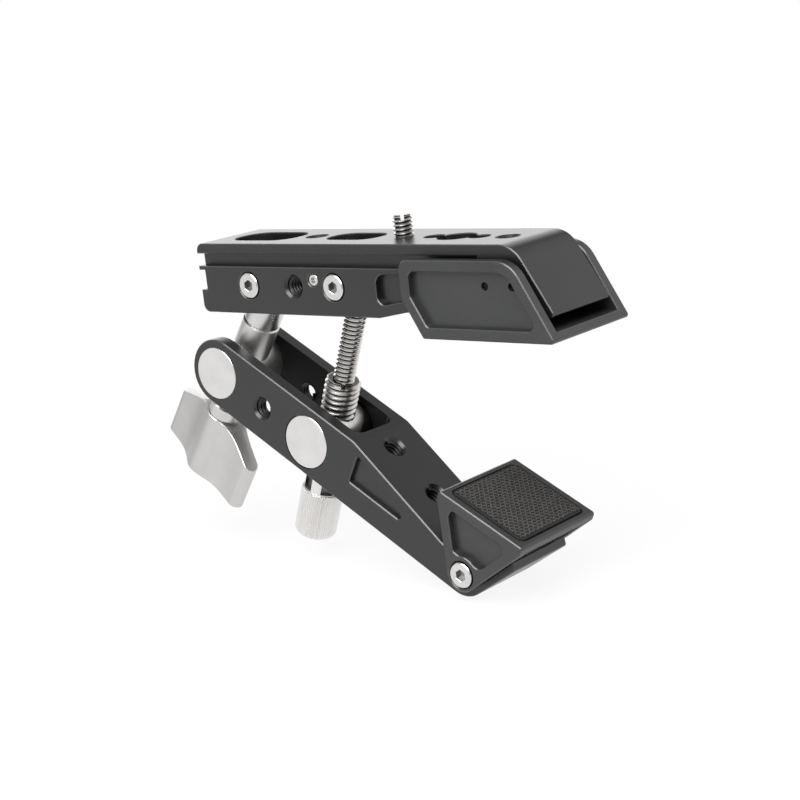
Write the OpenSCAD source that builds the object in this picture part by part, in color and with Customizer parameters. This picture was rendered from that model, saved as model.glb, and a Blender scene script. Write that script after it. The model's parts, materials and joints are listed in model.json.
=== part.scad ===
/* [Upper arm] */
// Width of the upper arm
arm_w = 28; // [24:0.5:34]
// Height of the upper arm
arm_h = 22.6; // [21:0.2:26]
// Distance from the stud back to the rear end
arm_rear = 77.3; // [75:0.5:90]
// Radius of the two rear corners
arm_corner_r = 2.5; // [1:0.1:3]
// Distance from the stud to where the front slope would meet the top face
nose_x = 51; // [49:0.5:53]
// Slope of the nose's front face below level
nose_angle = 58; // [52:1:64]
// Radius between the top face and the nose's front face
nose_r = 9; // [4:0.5:10]
// Depth of the nose's underside below the top face
nose_depth = 20.6; // [18:0.2:21]
// Distance from the stud back to where the underside starts to rise
belly_x = 1.5; // [0:0.5:6]
// Length of the rising stretch of the underside
belly_run = 11; // [8:0.5:16]
// Depth of the rail groove's upper edge below the top face
groove_top = 3.3; // [2.5:0.1:4]
// Height of the rail groove
groove_h = 4.1; // [3:0.1:4.5]
// Depth of the rail groove into the side
groove_depth = 3.3; // [2:0.1:3.6]
// Distance from the stud to the groove's front end
groove_front = 38; // [30:1:42]
// Height of the notch across the rear end
notch_h = 6.5; // [5:0.1:7]
// Depth of the notch across the rear end
notch_depth = 2.6; // [1.5:0.1:3]
// Depth of the notch's upper edge below the top face
notch_top = 8.7; // [8:0.1:10]
// Thickness of the roof over the channel
roof_t = 4.6; // [4:0.1:5]
// Wall left at each end of the channel, past the swing of the rods
channel_spare = 1.6; // [1:0.1:3]
// Radius of the channel's corners
channel_r = 3; // [1:0.1:4]
// Depth of the side pocket behind the jaw
side_pocket_depth = 2.2; // [1:0.1:3]
// Depth of the side pocket's upper edge below the top face
side_pocket_top = 9.3; // [8.6:0.1:11]
// Height of the rim under the side pocket
side_pocket_rim = 3.4; // [2.5:0.1:5]
// Distance from the stud back to the tapped cross hole
cross_hole_x = 35.6; // [34:0.1:37]
// Chamfer at the mouths of the tapped holes
mouth = 0.8; // [0.3:0.1:1]

/* [Top face] */
// Length of the rear window
rear_window_l = 26; // [22:0.5:30]
// Width of the rear window
rear_window_w = 15.5; // [14:0.5:18]
// Length of the middle window
mid_window_l = 20; // [18:0.5:24]
// Width of the middle window
mid_window_w = 12.5; // [12:0.5:16]
// Distance of the rear window's middle behind the rear pivot
rear_window_back = 1.1; // [0:0.1:2]
// Distance of the middle window's middle behind the middle pivot
mid_window_back = 0.5; // [0:0.1:2]
// Distance from the stud back to the tapped hole between the windows
roof_hole_x = 36; // [35.5:0.1:36.5]
// Diameter of the quarter inch thread
quarter_d = 6.35; // [6:0.05:7]
// Diameter of the three eighths thread
three_eighths_d = 9.525; // [9:0.025:10]
// Height of the stud above the top face
stud_h = 6.7; // [5:0.1:12]
// Depth of the stud in the arm
stud_depth = 9; // [6:0.5:12]
// Diameter of the stud's shank in the arm
stud_shank_d = 5.4; // [4.5:0.1:5.9]
// Height of the relief under the stud's thread
stud_relief = 0.3; // [0.2:0.1:0.6]
// Width of the driver slot in the stud's tip
stud_slot = 1.1; // [0.8:0.1:1.5]
// Depth of the driver slot
stud_slot_depth = 1.4; // [1:0.1:2]
// Chamfer at the stud's tip
stud_tip = 0.8; // [0.4:0.1:1.2]
// Distance from the stud to the keyed hole
key_x = 20.5; // [18:0.5:23]
// Diameter of the keyed hole's middle recess
key_d = 12.4; // [12:0.1:14]
// Diameter of the keyed hole's side recesses
key_side_d = 6.6; // [5.6:0.2:7.6]
// Distance of the side recesses from the keyed hole's middle
key_side_x = 8.6; // [8:0.1:9.2]
// Depth of the keyed recess
key_depth = 2.6; // [1.5:0.1:3]
// Distance from the stud to the front hole
front_hole_x = 39.4; // [38.5:0.1:40.5]
// Depth of the tapped holes in the nose
nose_hole_depth = 9; // [6:0.5:9.5]

/* [Upper jaw] */
// Width of both jaws
jaw_w = 38; // [36:0.5:46]
// Thickness of the jaws' cheeks
cheek_t = 3.6; // [3:0.1:3.9]
// Depth of the cheek's upper edge below the top face
jaw_top = 3.8; // [3:0.1:5]
// Depth of the jaw's underside below the top face
jaw_bottom = 27.1; // [26:0.1:30]
// Distance from the stud to the jaw's rear edge
jaw_rear_x = 12.3; // [10:0.5:15]
// Height of the jaw's upright rear edge
jaw_rear_h = 11.6; // [8:0.2:14]
// Distance from the stud to where the jaw's front slope would meet its upper edge
jaw_front_x = 53.1; // [52:0.1:56]
// Slope of the jaw's sloping ends
jaw_angle = 60; // [56:1:64]
// Radius at the upper front corner of the cheek
jaw_front_r = 9; // [4:0.5:10]
// Radius at the rear corners of the cheek
jaw_rear_r = 3; // [1:0.1:4]
// Thickness of the jaws' plates
plate_t = 3; // [2.6:0.1:3.5]
// Width of the rim round the cheek pockets
cheek_rim = 3.4; // [2:0.1:4]
// Depth of the cheek pockets
cheek_pocket = 2.2; // [0.8:0.1:2.4]
// Radius of the cheek pockets' corners
pocket_r = 2; // [0.5:0.1:3]
// Distance from the stud to the rear dowel
dowel_x = 42.1; // [38:0.1:45]
// Spacing of the two dowels
dowel_pitch = 9.5; // [8:0.1:11]
// Depth of the dowels below the top face
dowel_z = 11.5; // [10:0.1:15]
// Diameter of the dowels
dowel_d = 2.5; // [2:0.1:3]
// Distance of the dowels' ends below the cheek pockets' floors
dowel_sink = 0.7; // [0.3:0.1:1]

/* [Pads] */
// Thickness of the rubber pads
pad_t = 1.6; // [1.4:0.1:2.5]
// Depth of the pads' seats in the jaw plates
pad_seat = 1; // [0.6:0.1:1.3]
// Rim of the jaw plate at the pad's ends
pad_rim = 2.6; // [2:0.1:4]
// Rim of the jaw plate at the pad's sides
pad_rim_side = 3.1; // [2:0.1:4]
// Corner radius of the pads
pad_r = 2; // [1:0.1:3]
// Groove left round the pads in their seats
pad_gap = 0.6; // [0.2:0.1:0.8]

/* [Pivots] */
// Distance from the stud back to the rear pivot
pivot_a_x = 55.2; // [54:0.1:56.5]
// Distance from the stud back to the middle pivot
pivot_b_x = 18.8; // [18:0.1:20]
// Depth of both pivots below the top face
pivot_z = 13.5; // [12.5:0.1:14.5]
// Diameter of the cross pins
pin_d = 6; // [5:0.1:6.4]
// Diameter of the screw heads
head_d = 8.1; // [7:0.1:9]
// Clearance round the screw heads in their seats
seat_gap = 0.4; // [0.2:0.05:0.6]
// Height of the screw heads
head_h = 2.4; // [2:0.1:3]
// Height of the screw heads outside their seats
head_proud = 0.3; // [0.1:0.1:0.6]
// Hexagon of the screw heads across its corners
hex_d = 3.6; // [2.5:0.1:4.5]
// Depth of the hexagon sockets
hex_depth = 1.5; // [1:0.1:1.9]
// Diameter of the small set screw
lock_d = 4; // [3:0.1:4.5]
// Distance of the set screw behind the middle pivot
lock_back = 8.3; // [7.6:0.1:9]
// Depth of the set screw below the top face
lock_z = 11.4; // [10.5:0.1:13]

/* [Rear post] */
// Distance between the rear pivot and the rear trunnion
post_len = 36.6; // [35.5:0.1:38]
// Lean of the post from upright
post_lean = 35; // [33:0.1:37]
// Diameter of the cap
cap_d = 12; // [11:0.1:12.4]
// Distance from the rear pivot to the seam under the cap
cap_len = 18; // [17:0.1:19.5]
// Diameter of the trunnion's neck
neck_d = 12.5; // [11.5:0.1:13]
// Diameter of the wing screw
screw_d = 8; // [7.5:0.1:8.5]
// Diameter of the pressure tip
tip_d = 7; // [6:0.1:7.4]
// Reach of the pressure tip into the cap
tip_reach = 6.2; // [5.5:0.1:7]
// Length of the pressure tip below the cap
tip_out = 0.2; // [0:0.1:1]
// Travel of the wing screw
wing_travel = 4; // [2:0.1:5]
// Diameter of the collar on the wing screw
collar_d = 12.5; // [11:0.1:13]
// Height of the collar on the wing screw
collar_h = 5; // [3:0.1:6]

/* [Wing] */
// Distance from the rear trunnion to the top of the wing's hub
wing_drop = 21.4; // [21:0.1:26]
// Span of the wing
wing_span = 44.5; // [36:0.5:48]
// Thickness of the wing at its tips
wing_t = 5.6; // [4:0.1:7]
// Diameter of the wing's hub
hub_d = 13.6; // [13:0.1:15]
// Reach of the fillets between hub and wings
hub_blend = 7; // [5:0.1:9]
// Height of the wing over its hub
wing_h = 24.4; // [20:0.1:30]
// Height of the wing at its tips
wing_tip_h = 16.8; // [12:0.1:19]
// Turn of the wing from the plane of the arms
wing_turn = 10; // [0:1:30]

/* [Lower arm] */
// Width of the lower arm
low_w = 27; // [24:0.5:28]
// Slope of the lower arm below level
low_slope = 29.25; // [28:0.05:30.5]
// Height of the lower arm above its centre line
low_top = 11.5; // [11.2:0.1:12.5]
// Height of the lower arm below its centre line
low_bottom = 10.6; // [10.4:0.1:11.1]
// Spacing of the two trunnions
trunnion_span = 42.4; // [41.5:0.1:43.5]
// Distance from the rear trunnion to the jaw pivot
jaw_reach = 114.4; // [112:0.1:117]
// Diameter of the trunnions
trunnion_d = 17.5; // [16.5:0.1:17.8]
// Width of the fork's slot
slot_w = 18; // [16.5:0.1:19]
// Distance from the rear trunnion to the slot's front end
slot_l = 57.5; // [55:0.5:58]
// Radius of the slot's front corners
slot_r = 3.5; // [2:0.1:5]
// Distance from the rear trunnion to the bend in the upper edge
bend_x = 59.5; // [59:0.1:62]
// Angle of the bend
bend_angle = 14; // [12.5:0.1:15]
// Distance from the rear trunnion to the instep's lowest point
instep_x = 103; // [101:0.1:105]
// Distance of the toe's tip ahead of the jaw pivot
toe_x = 10.4; // [10:0.1:12]
// Height of the toe's tip above the centre line
toe_h = 12.9; // [12:0.1:13.4]
// Thickness of the toe's tip
toe_t = 4.8; // [3.5:0.1:5.5]
// Slope of the toe's front from the centre line
toe_angle = 60.5; // [57:0.5:64]
// Radius under the heel
heel_r = 8.5; // [6:0.1:9]
// Distance from the rear trunnion to the side hole
side_hole_x = 21.9; // [21:0.1:22.5]
// Distance from the bend to the first tapped hole on the slope
slope_hole_x = 6.9; // [6.5:0.1:8]
// Spacing of the two tapped holes on the slope
slope_hole_pitch = 20.6; // [18:0.1:22]
// Depth of the tapped holes on the slope
slope_hole_depth = 9; // [6:0.5:10]
// Depth of the three-cornered side recess
recess_depth = 1.6; // [0.8:0.1:2.2]
// Distance from the bend to the side recess
recess_x = 3; // [2:0.1:6]
// Distance of the recess's upper corner below the arm's upper edge
recess_top = 3.3; // [2.5:0.1:5]
// Distance of the recess's lower edge above the arm's lower edge
recess_low = 8.5; // [6:0.1:10]
// Slope of the recess's long edge
recess_angle = 21.2; // [18:0.1:26]

/* [Lower jaw] */
// Slope of the lower jaw's plate below level
jaw_slope = 27.2; // [24:0.1:30]
// Length of the lower jaw's plate
jaw_l = 32.8; // [30:0.2:36]
// Height of the plate's upper face above the pivot
jaw_h = 20.8; // [20.4:0.1:23]
// Radius of the cheek round the pivot
cheek_r = 5.4; // [5:0.1:6.2]
// Height of the plate's edge
jaw_edge = 2.6; // [2:0.1:3.4]
// Diameter of the jaw's pivot pin
jaw_pin_d = 5; // [4:0.1:5.5]
// Diameter of the jaw's pivot screw heads
jaw_head_d = 8; // [6:0.1:8.4]

/* [Adjusting rod] */
// Diameter of the thin rod
rod_d = 7; // [6:0.1:7.4]
// Diameter of the eye on the middle pivot
eye_d = 11.5; // [10.5:0.1:12]
// Length of the stem under the eye
stem_l = 3.5; // [2:0.1:5]
// Diameter of the stem under the eye
stem_d = 10; // [9:0.1:10.5]
// Diameter of the adjusting sleeve
sleeve_d = 11.6; // [11:0.1:12]
// Height of the sleeve above the middle trunnion
sleeve_up = 19.4; // [16:0.1:21]
// Distance from the middle trunnion to the knob
knob_drop = 24; // [20:0.1:27]
// Diameter of the knob
knob_d = 14; // [13.5:0.1:16]
// Height of the knob's grip
knob_h = 14.2; // [12:0.1:16]
// Diameter of the knob's neck
knob_neck_d = 12.6; // [12.5:0.1:13]
// Height of the knob's neck
knob_neck_h = 3.6; // [2:0.1:4]
// Width of the notches in the knob's neck
neck_notch_w = 4.2; // [3:0.1:5]
// Depth of the notches in the knob's neck
neck_notch_depth = 1.2; // [0.6:0.1:1.4]
// Rim left under the notches in the knob's neck
neck_notch_rim = 0.4; // [0.2:0.1:1]
// Radius at the knob's lower edge
knob_r = 2; // [1:0.1:3]
// Diameter of the sleeve's end inside the knob
spigot_d = 9.4; // [9:0.1:10]
// Travel of the sleeve along the rod
rod_travel = 19; // [15:0.1:20]

/* [Fits] */
// Radial clearance of turning fits
run_fit = 0.05; // [0.02:0.01:0.1]
// Radial clearance of the middle trunnion in the fork
open_fit = 0.3; // [0.25:0.01:0.4]
// Clearance between pieces that pass each other
gap = 0.4; // [0.3:0.05:0.8]
// Clearance round the rods in the upper arm's channel
swing_gap = 0.8; // [0.5:0.1:1.2]

/* [Hidden] */
$fn = 64;

black = "#3a3b3b";
steel = "#c9c7c2";
satin = "#d3d1cf";
rubber = "#2b2b2b";

// Cut overshoot, and degrees of arc to a facet in rounded outlines
over = 1;
arc_step = 10;

// Radii of small and wide bends in the outlines, and half the straight at the windows' ends
small_r = 1;
bend_r = 5;
end_flat = 1;

// Places of the pivots in the part's frame
rear_pivot = [-pivot_a_x, 0, -pivot_z];
mid_pivot = [-pivot_b_x, 0, -pivot_z];
post_dir = [-sin(post_lean), 0, -cos(post_lean)];
low_dir = [cos(low_slope), 0, -sin(low_slope)];
rear_axle = rear_pivot + post_len * post_dir;
mid_axle = rear_axle + trunnion_span * low_dir;
jaw_pivot = rear_axle + jaw_reach * low_dir;
rod_len = norm(mid_axle - mid_pivot);
rod_lean = atan2(mid_pivot.x - mid_axle.x, mid_pivot.z - mid_axle.z);

// Pins, their screws and the channel that the rods swing in
channel_w = cap_d + 2 * swing_gap;
channel_rear = -pivot_a_x - (arm_h - pivot_z) * tan(post_lean) - cap_d / 2 / cos(post_lean) - channel_spare;
channel_front = -pivot_b_x + eye_d / 2 + swing_gap + channel_spare;
pin_l = arm_w - 2 * (head_h - head_proud);

// Jaws: their own width, or what the upper arm needs if that is wider
jaw_inner_w = max(jaw_w - 2 * cheek_t, arm_w + 2 * gap);
jaw_outer_w = jaw_inner_w + 2 * cheek_t;
jaw_pin_l = jaw_outer_w - 2 * (head_h - head_proud);
boss_root = (cheek_t - cheek_pocket) / 2;

// Jaw outlines
jaw_lean = 1 / tan(jaw_angle);
jaw_front_bottom = jaw_front_x + (jaw_bottom - jaw_top) * jaw_lean;
jaw_rear_bottom = jaw_rear_x + (jaw_bottom - jaw_top - jaw_rear_h) * jaw_lean;
plate_low = jaw_h - jaw_edge;
jaw_side_angle = atan2(plate_low, jaw_l / 2) + asin(cheek_r / norm([jaw_l / 2, plate_low]));
cheek_tip = cheek_r / cos(jaw_side_angle);
boss_rim = 0.7;

// Pads
upper_pad_l = jaw_front_bottom - jaw_rear_bottom - 2 * pad_rim;
upper_pad_x = (jaw_front_bottom + jaw_rear_bottom) / 2;
lower_pad_l = jaw_l - 2 * pad_rim;
pad_w = jaw_outer_w - 2 * pad_rim_side;

// Lower arm: radius of its round end, and the turn from the toe's slope to its tip face
low_end_r = (low_top + low_bottom) / 2 - run_fit;
toe_corner = 110;

// Notches in the knob's neck, and the turn of the first one
neck_notches = 5;
neck_turn = -38;

// Sleeve and rod, measured down from the middle pivot
sleeve_top = rod_len - sleeve_up;
knob_top = rod_len + knob_drop;
neck_top = knob_top - knob_neck_h;
knob_wall = 2;
spigot_end = knob_top + knob_h - knob_wall;
rod_end = spigot_end - rod_travel - gap;

// Wing screw and tip, measured down from the rear pivot
tip_top = cap_len - tip_reach;
tip_base = cap_len + tip_out;
tip_spigot_d = tip_d / 2;
tip_spigot_l = 4;
wing_top = post_len + wing_drop;
wing_base = wing_top + wing_h;
screw_inset = 1.4;

function unit(v) = v / norm(v);

// Points of one corner [x, y, radius] between its two neighbours
function corner_arc(before, at, after) =
    let (p = [at[0], at[1]],
         r = at[2],
         u = unit([before[0], before[1]] - p),
         v = unit([after[0], after[1]] - p),
         half = acos(u * v) / 2,
         c = p + unit(u + v) * r / sin(half),
         s = p + u * r / tan(half) - c,
         e = p + v * r / tan(half) - c,
         from = atan2(s[1], s[0]),
         swing = atan2(e[1], e[0]) - from,
         turn = swing > 180 ? swing - 360 : swing < -180 ? swing + 360 : swing,
         n = max(1, ceil(abs(turn) / arc_step)))
    r <= 0 ? [p] : [for (k = [0:n]) c + r * [cos(from + turn * k / n), sin(from + turn * k / n)]];

// Outline through corners [x, y, radius], each rounded by its own radius
function rounded(path) =
    let (n = len(path))
    [for (i = [0:n - 1]) each corner_arc(path[(i + n - 1) % n], path[i], path[(i + 1) % n])];

// Frames that follow the post, the rod, the lower arm and the lower jaw
module on_post() { translate(rear_pivot) rotate([0, post_lean, 0]) children(); }
module on_rod() { translate(mid_pivot) rotate([0, rod_lean, 0]) children(); }
module on_lower() { translate(rear_axle) rotate([0, low_slope, 0]) children(); }
module on_jaw() { translate(jaw_pivot) rotate([0, jaw_slope, 0]) children(); }

// Side outline drawn in X and Z, extruded evenly to both sides of the middle
module across(w) { rotate([90, 0, 0]) linear_extrude(w, center = true) children(); }

// Round bar or bore across the part
module cross_bar(d, w) { rotate([90, 0, 0]) cylinder(d = d, h = w, center = true); }

// Shallow cut of a side outline into the faces at both sides
module both_sides(w, depth) {
    for (side = [-1, 1])
        translate([0, side * w / 2, 0])
            across(2 * depth)
                children();
}

// Rectangle with round corners, centred
module plate_outline(l, w, r) {
    polygon(rounded([[-l / 2, -w / 2, r], [l / 2, -w / 2, r], [l / 2, w / 2, r], [-l / 2, w / 2, r]]));
}

// Upright cut with round corners, from a height down through a depth
module pocket(x, z, l, w, r, depth) {
    translate([x, 0, z - depth]) linear_extrude(depth + over) plate_outline(l, w, r);
}

// Blind hole from a height downward
module drill(x, z, d, depth) { translate([x, 0, z - depth]) cylinder(d = d, h = depth + over); }

// Tapped hole from a height downward, with a chamfered mouth
module tapped(x, z, d, depth) {
    drill(x, z, d, depth);
    translate([x, 0, z - mouth]) cylinder(d1 = d, d2 = d + 2 * mouth, h = mouth);
}

// Tapped hole right across the part, with chamfered mouths
module tapped_across(d, w) {
    cross_bar(d, w + over);
    for (turn = [90, -90])
        rotate([turn, 0, 0])
            translate([0, 0, w / 2 - mouth]) cylinder(d1 = d, d2 = d + 2 * mouth, h = mouth);
}

// Button head with a hexagon socket; its seat is at y = 0 and it stands toward -y
module head_screw(d) {
    rotate([90, 0, 0])
        difference() {
            union() {
                cylinder(d = d, h = head_h - head_proud);
                translate([0, 0, head_h - head_proud])
                    cylinder(d1 = d, d2 = d - 2 * head_proud, h = head_proud);
            }
            translate([0, 0, head_h - hex_depth]) cylinder(d = hex_d, h = hex_depth + over, $fn = 6);
        }
}

module arm_outline() {
    nose_back = nose_depth / tan(nose_angle);
    polygon(rounded([
        [-arm_rear, 0, arm_corner_r], [nose_x, 0, nose_r], [nose_x + nose_back, -nose_depth, small_r],
        [belly_run - belly_x, -nose_depth, bend_r], [-belly_x, -arm_h, bend_r],
        [-arm_rear, -arm_h, arm_corner_r]
    ]));
}

// Pocket in the arm's side that runs in under the jaw
module side_pocket_outline() {
    reach = jaw_rear_x + jaw_rear_h;
    rise = (arm_h - nose_depth) / belly_run * (reach + belly_x);
    low = arm_h - side_pocket_rim;
    polygon(rounded([
        [-belly_x, -side_pocket_top, jaw_rear_r], [reach, -side_pocket_top, small_r],
        [reach, rise - low, small_r], [-belly_x, -low, jaw_rear_r]
    ]));
}

module upper_arm() {
    window_depth = roof_t + over;
    color(black)
        difference() {
            across(arm_w) arm_outline();
            // Rail grooves, and the notch across the rear end
            for (side = [-1, 1])
                translate([-arm_rear - over, side * arm_w / 2 - groove_depth, -groove_top - groove_h])
                    cube([arm_rear + groove_front + over, 2 * groove_depth, groove_h]);
            translate([-arm_rear - over, -arm_w / 2 - over, -notch_top - notch_h])
                cube([notch_depth + over, arm_w + 2 * over, notch_h]);
            // Channel for the rods, and the windows above it
            translate([0, 0, -arm_h - over])
                linear_extrude(arm_h + over - roof_t)
                    translate([(channel_rear + channel_front) / 2, 0])
                        plate_outline(channel_front - channel_rear, channel_w, channel_r);
            pocket(-pivot_a_x - rear_window_back, 0,
                   rear_window_l, rear_window_w, rear_window_w / 2 - end_flat, window_depth);
            pocket(-pivot_b_x - mid_window_back, 0,
                   mid_window_l, mid_window_w, mid_window_w / 2 - end_flat, window_depth);
            tapped(-roof_hole_x, 0, quarter_d, window_depth);
            // Stud hole, keyed hole and front hole
            drill(0, 0, stud_shank_d, stud_depth);
            drill(key_x, 0, key_d, key_depth);
            for (side = [-1, 1])
                drill(key_x + side * key_side_x, 0, key_side_d, key_depth);
            tapped(key_x, -key_depth, three_eighths_d, nose_hole_depth - key_depth);
            tapped(front_hole_x, 0, quarter_d, nose_hole_depth);
            both_sides(arm_w, side_pocket_depth) side_pocket_outline();
            // Pivot pins with their screw seats
            for (x = [-pivot_a_x, -pivot_b_x])
                translate([x, 0, -pivot_z]) {
                    cross_bar(pin_d, arm_w + over);
                    for (side = [-1, 1])
                        translate([0, side * (pin_l + arm_w) / 4, 0])
                            cross_bar(head_d + 2 * seat_gap, (arm_w - pin_l) / 2);
                }
            // Tapped cross hole, set screw and dowels
            translate([-cross_hole_x, 0, -pivot_z]) tapped_across(quarter_d, arm_w);
            translate([-pivot_b_x - lock_back, -arm_w / 2, -lock_z]) cross_bar(lock_d, arm_w - channel_w);
            for (i = [0, 1])
                translate([dowel_x + i * dowel_pitch, 0, -dowel_z]) cross_bar(dowel_d, arm_w + over);
        }
}

module jaw_outline() {
    polygon(rounded([
        [jaw_rear_x, -jaw_top, jaw_rear_r], [jaw_front_x, -jaw_top, jaw_front_r],
        [jaw_front_bottom, -jaw_bottom, small_r], [jaw_rear_bottom, -jaw_bottom, small_r],
        [jaw_rear_x, -jaw_top - jaw_rear_h, jaw_rear_r]
    ]));
}

module upper_jaw() {
    boss_d = 2 * dowel_d;
    boss_l = (jaw_inner_w - arm_w) / 2 + boss_root;
    color(black)
        difference() {
            union() {
                difference() {
                    across(jaw_outer_w) jaw_outline();
                    translate([jaw_rear_x - over, -jaw_inner_w / 2, -jaw_bottom + plate_t])
                        cube([jaw_front_bottom - jaw_rear_x + 2 * over, jaw_inner_w, jaw_bottom]);
                }
                for (side = [-1, 1], i = [0, 1])
                    translate([dowel_x + i * dowel_pitch, side * (arm_w + boss_l) / 2, -dowel_z])
                        cross_bar(boss_d, boss_l);
            }
            both_sides(jaw_outer_w, cheek_pocket)
                offset(r = pocket_r) offset(delta = -cheek_rim - pocket_r) jaw_outline();
            translate([upper_pad_x, 0, -jaw_bottom - over])
                linear_extrude(pad_seat + over)
                    plate_outline(upper_pad_l + 2 * pad_gap, pad_w + 2 * pad_gap, pad_r + pad_gap);
            for (i = [0, 1])
                translate([dowel_x + i * dowel_pitch, 0, -dowel_z]) cross_bar(dowel_d, jaw_outer_w + over);
        }
}

module upper_pad() {
    color(rubber)
        translate([upper_pad_x, 0, -jaw_bottom + pad_seat - pad_t])
            linear_extrude(pad_t) plate_outline(upper_pad_l, pad_w, pad_r);
}

module top_stud() {
    color(steel)
        difference() {
            union() {
                translate([0, 0, -stud_depth]) cylinder(d = stud_shank_d, h = stud_depth + over);
                translate([0, 0, stud_relief]) cylinder(d = quarter_d, h = stud_h - stud_tip - stud_relief);
                translate([0, 0, stud_h - stud_tip])
                    cylinder(d1 = quarter_d, d2 = quarter_d - 2 * stud_tip, h = stud_tip);
            }
            translate([-quarter_d, -stud_slot / 2, stud_h - stud_slot_depth])
                cube([2 * quarter_d, stud_slot, stud_slot_depth + over]);
        }
}

module rear_pivot_pin() { color(steel) translate(rear_pivot) cross_bar(pin_d, pin_l); }
module mid_pivot_pin() { color(steel) translate(mid_pivot) cross_bar(pin_d, pin_l); }

// Screw heads at both ends of a cross pin
module near_screw(place, l, d) { color(steel) translate(place - [0, l / 2, 0]) head_screw(d); }
module far_screw(place, l, d) {
    color(steel) translate(place + [0, l / 2, 0]) mirror([0, 1, 0]) head_screw(d);
}

module rear_screw_near() { near_screw(rear_pivot, pin_l, head_d); }
module rear_screw_far() { far_screw(rear_pivot, pin_l, head_d); }
module mid_screw_near() { near_screw(mid_pivot, pin_l, head_d); }
module mid_screw_far() { far_screw(mid_pivot, pin_l, head_d); }

module jaw_dowel(i) {
    color(steel)
        translate([dowel_x + i * dowel_pitch, 0, -dowel_z])
            cross_bar(dowel_d, jaw_outer_w - 2 * (cheek_pocket + dowel_sink));
}
module jaw_dowel_rear() { jaw_dowel(0); }
module jaw_dowel_front() { jaw_dowel(1); }

module lock_screw() {
    sunk = 0.4;
    l = (arm_w - channel_w) / 2 - 2 * sunk;
    color(steel)
        translate([-pivot_b_x - lock_back, -arm_w / 2 + sunk, -lock_z])
            rotate([-90, 0, 0])
                difference() {
                    cylinder(d = lock_d, h = l);
                    translate([0, 0, -over]) cylinder(d = lock_d / 2, h = hex_depth + over, $fn = 6);
                }
}

module rear_cap() {
    socket_d = tip_d + 2 * gap;
    color(steel)
        on_post()
            difference() {
                union() {
                    sphere(d = cap_d);
                    translate([0, 0, -cap_len]) cylinder(d = cap_d, h = cap_len);
                }
                cross_bar(pin_d + 2 * run_fit, cap_d + over);
                translate([0, 0, -cap_len - over])
                    cylinder(d = socket_d, h = cap_len - tip_top + gap + over);
            }
}

module rear_trunnion() {
    color(steel)
        on_post()
            difference() {
                translate([0, 0, -post_len]) {
                    cross_bar(trunnion_d, low_w);
                    cylinder(d = neck_d, h = post_len - cap_len);
                }
                translate([0, 0, -post_len - trunnion_d])
                    cylinder(d = screw_d + 2 * run_fit, h = post_len + trunnion_d);
            }
}

module thrust_tip() {
    color(steel)
        on_post() {
            translate([0, 0, -tip_base]) cylinder(d = tip_d, h = tip_base - tip_top);
            translate([0, 0, -tip_base - tip_spigot_l]) cylinder(d = tip_spigot_d, h = tip_spigot_l + over);
        }
}

module wing_screw() {
    start = tip_base + gap;
    color(steel)
        on_post()
            difference() {
                union() {
                    translate([0, 0, -wing_base + screw_inset])
                        cylinder(d = screw_d, h = wing_base - screw_inset - start);
                    translate([0, 0, -wing_top]) cylinder(d = collar_d, h = collar_h);
                }
                translate([0, 0, -start - tip_spigot_l])
                    cylinder(d = tip_spigot_d + 2 * run_fit, h = tip_spigot_l + over);
            }
}

// Half the wing's thickness at a distance from its axis
function wing_half(x) = wing_t / 2 + (hub_d - wing_t) / 2 * exp(-pow(x / hub_blend, 2));

// Bow-tie outline of the wing: blended hub, then round tips
module wing_outline() {
    reach = wing_span / 2 - wing_t / 2;
    steps = 24;
    side = [for (k = [-steps:steps]) let (x = reach * k / steps) [x, wing_half(x)]];
    tip = [for (a = [90 - arc_step:-arc_step:arc_step - 90]) [reach, 0] + wing_t / 2 * [cos(a), sin(a)]];
    half = concat(side, tip);
    polygon(concat(half, [for (p = half) -p]));
}

module wing_knob() {
    tip_r = wing_span / 2;
    color(satin)
        on_post()
            difference() {
                intersection() {
                    translate([0, 0, -wing_base])
                        linear_extrude(wing_h) rotate(-wing_turn) wing_outline();
                    rotate_extrude()
                        polygon([
                            [0, -wing_base], [tip_r, -wing_base], [tip_r, -wing_base + wing_tip_h],
                            [hub_d / 2, -wing_top], [0, -wing_top]
                        ]);
                }
                translate([0, 0, -wing_base - over]) cylinder(d = screw_d, h = wing_h + 2 * over);
            }
}

// Side outline of the lower arm, from the rear trunnion along its centre line
module lower_outline() {
    instep_h = low_top - (instep_x - bend_x) * tan(bend_angle);
    tip = [jaw_reach + toe_x, toe_h];
    front = tip + toe_t * [cos(toe_angle - toe_corner), sin(toe_angle - toe_corner)];
    heel_x = front.x - (front.y + low_bottom) / tan(toe_angle);
    polygon(rounded([
        [-low_end_r, low_top, low_end_r], [bend_x, low_top, bend_r], [instep_x, instep_h, bend_r],
        [tip.x, tip.y, small_r], [front.x, front.y, small_r],
        [heel_x, -low_bottom, heel_r], [-low_end_r, -low_bottom, low_end_r]
    ]));
}

module recess_outline() {
    left = bend_x + recess_x;
    top = low_top - recess_top;
    low = recess_low - low_bottom;
    tip = left + (top - low) / tan(recess_angle);
    polygon(rounded([[left, top, small_r], [left, low, small_r], [tip, low, small_r]]));
}

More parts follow.
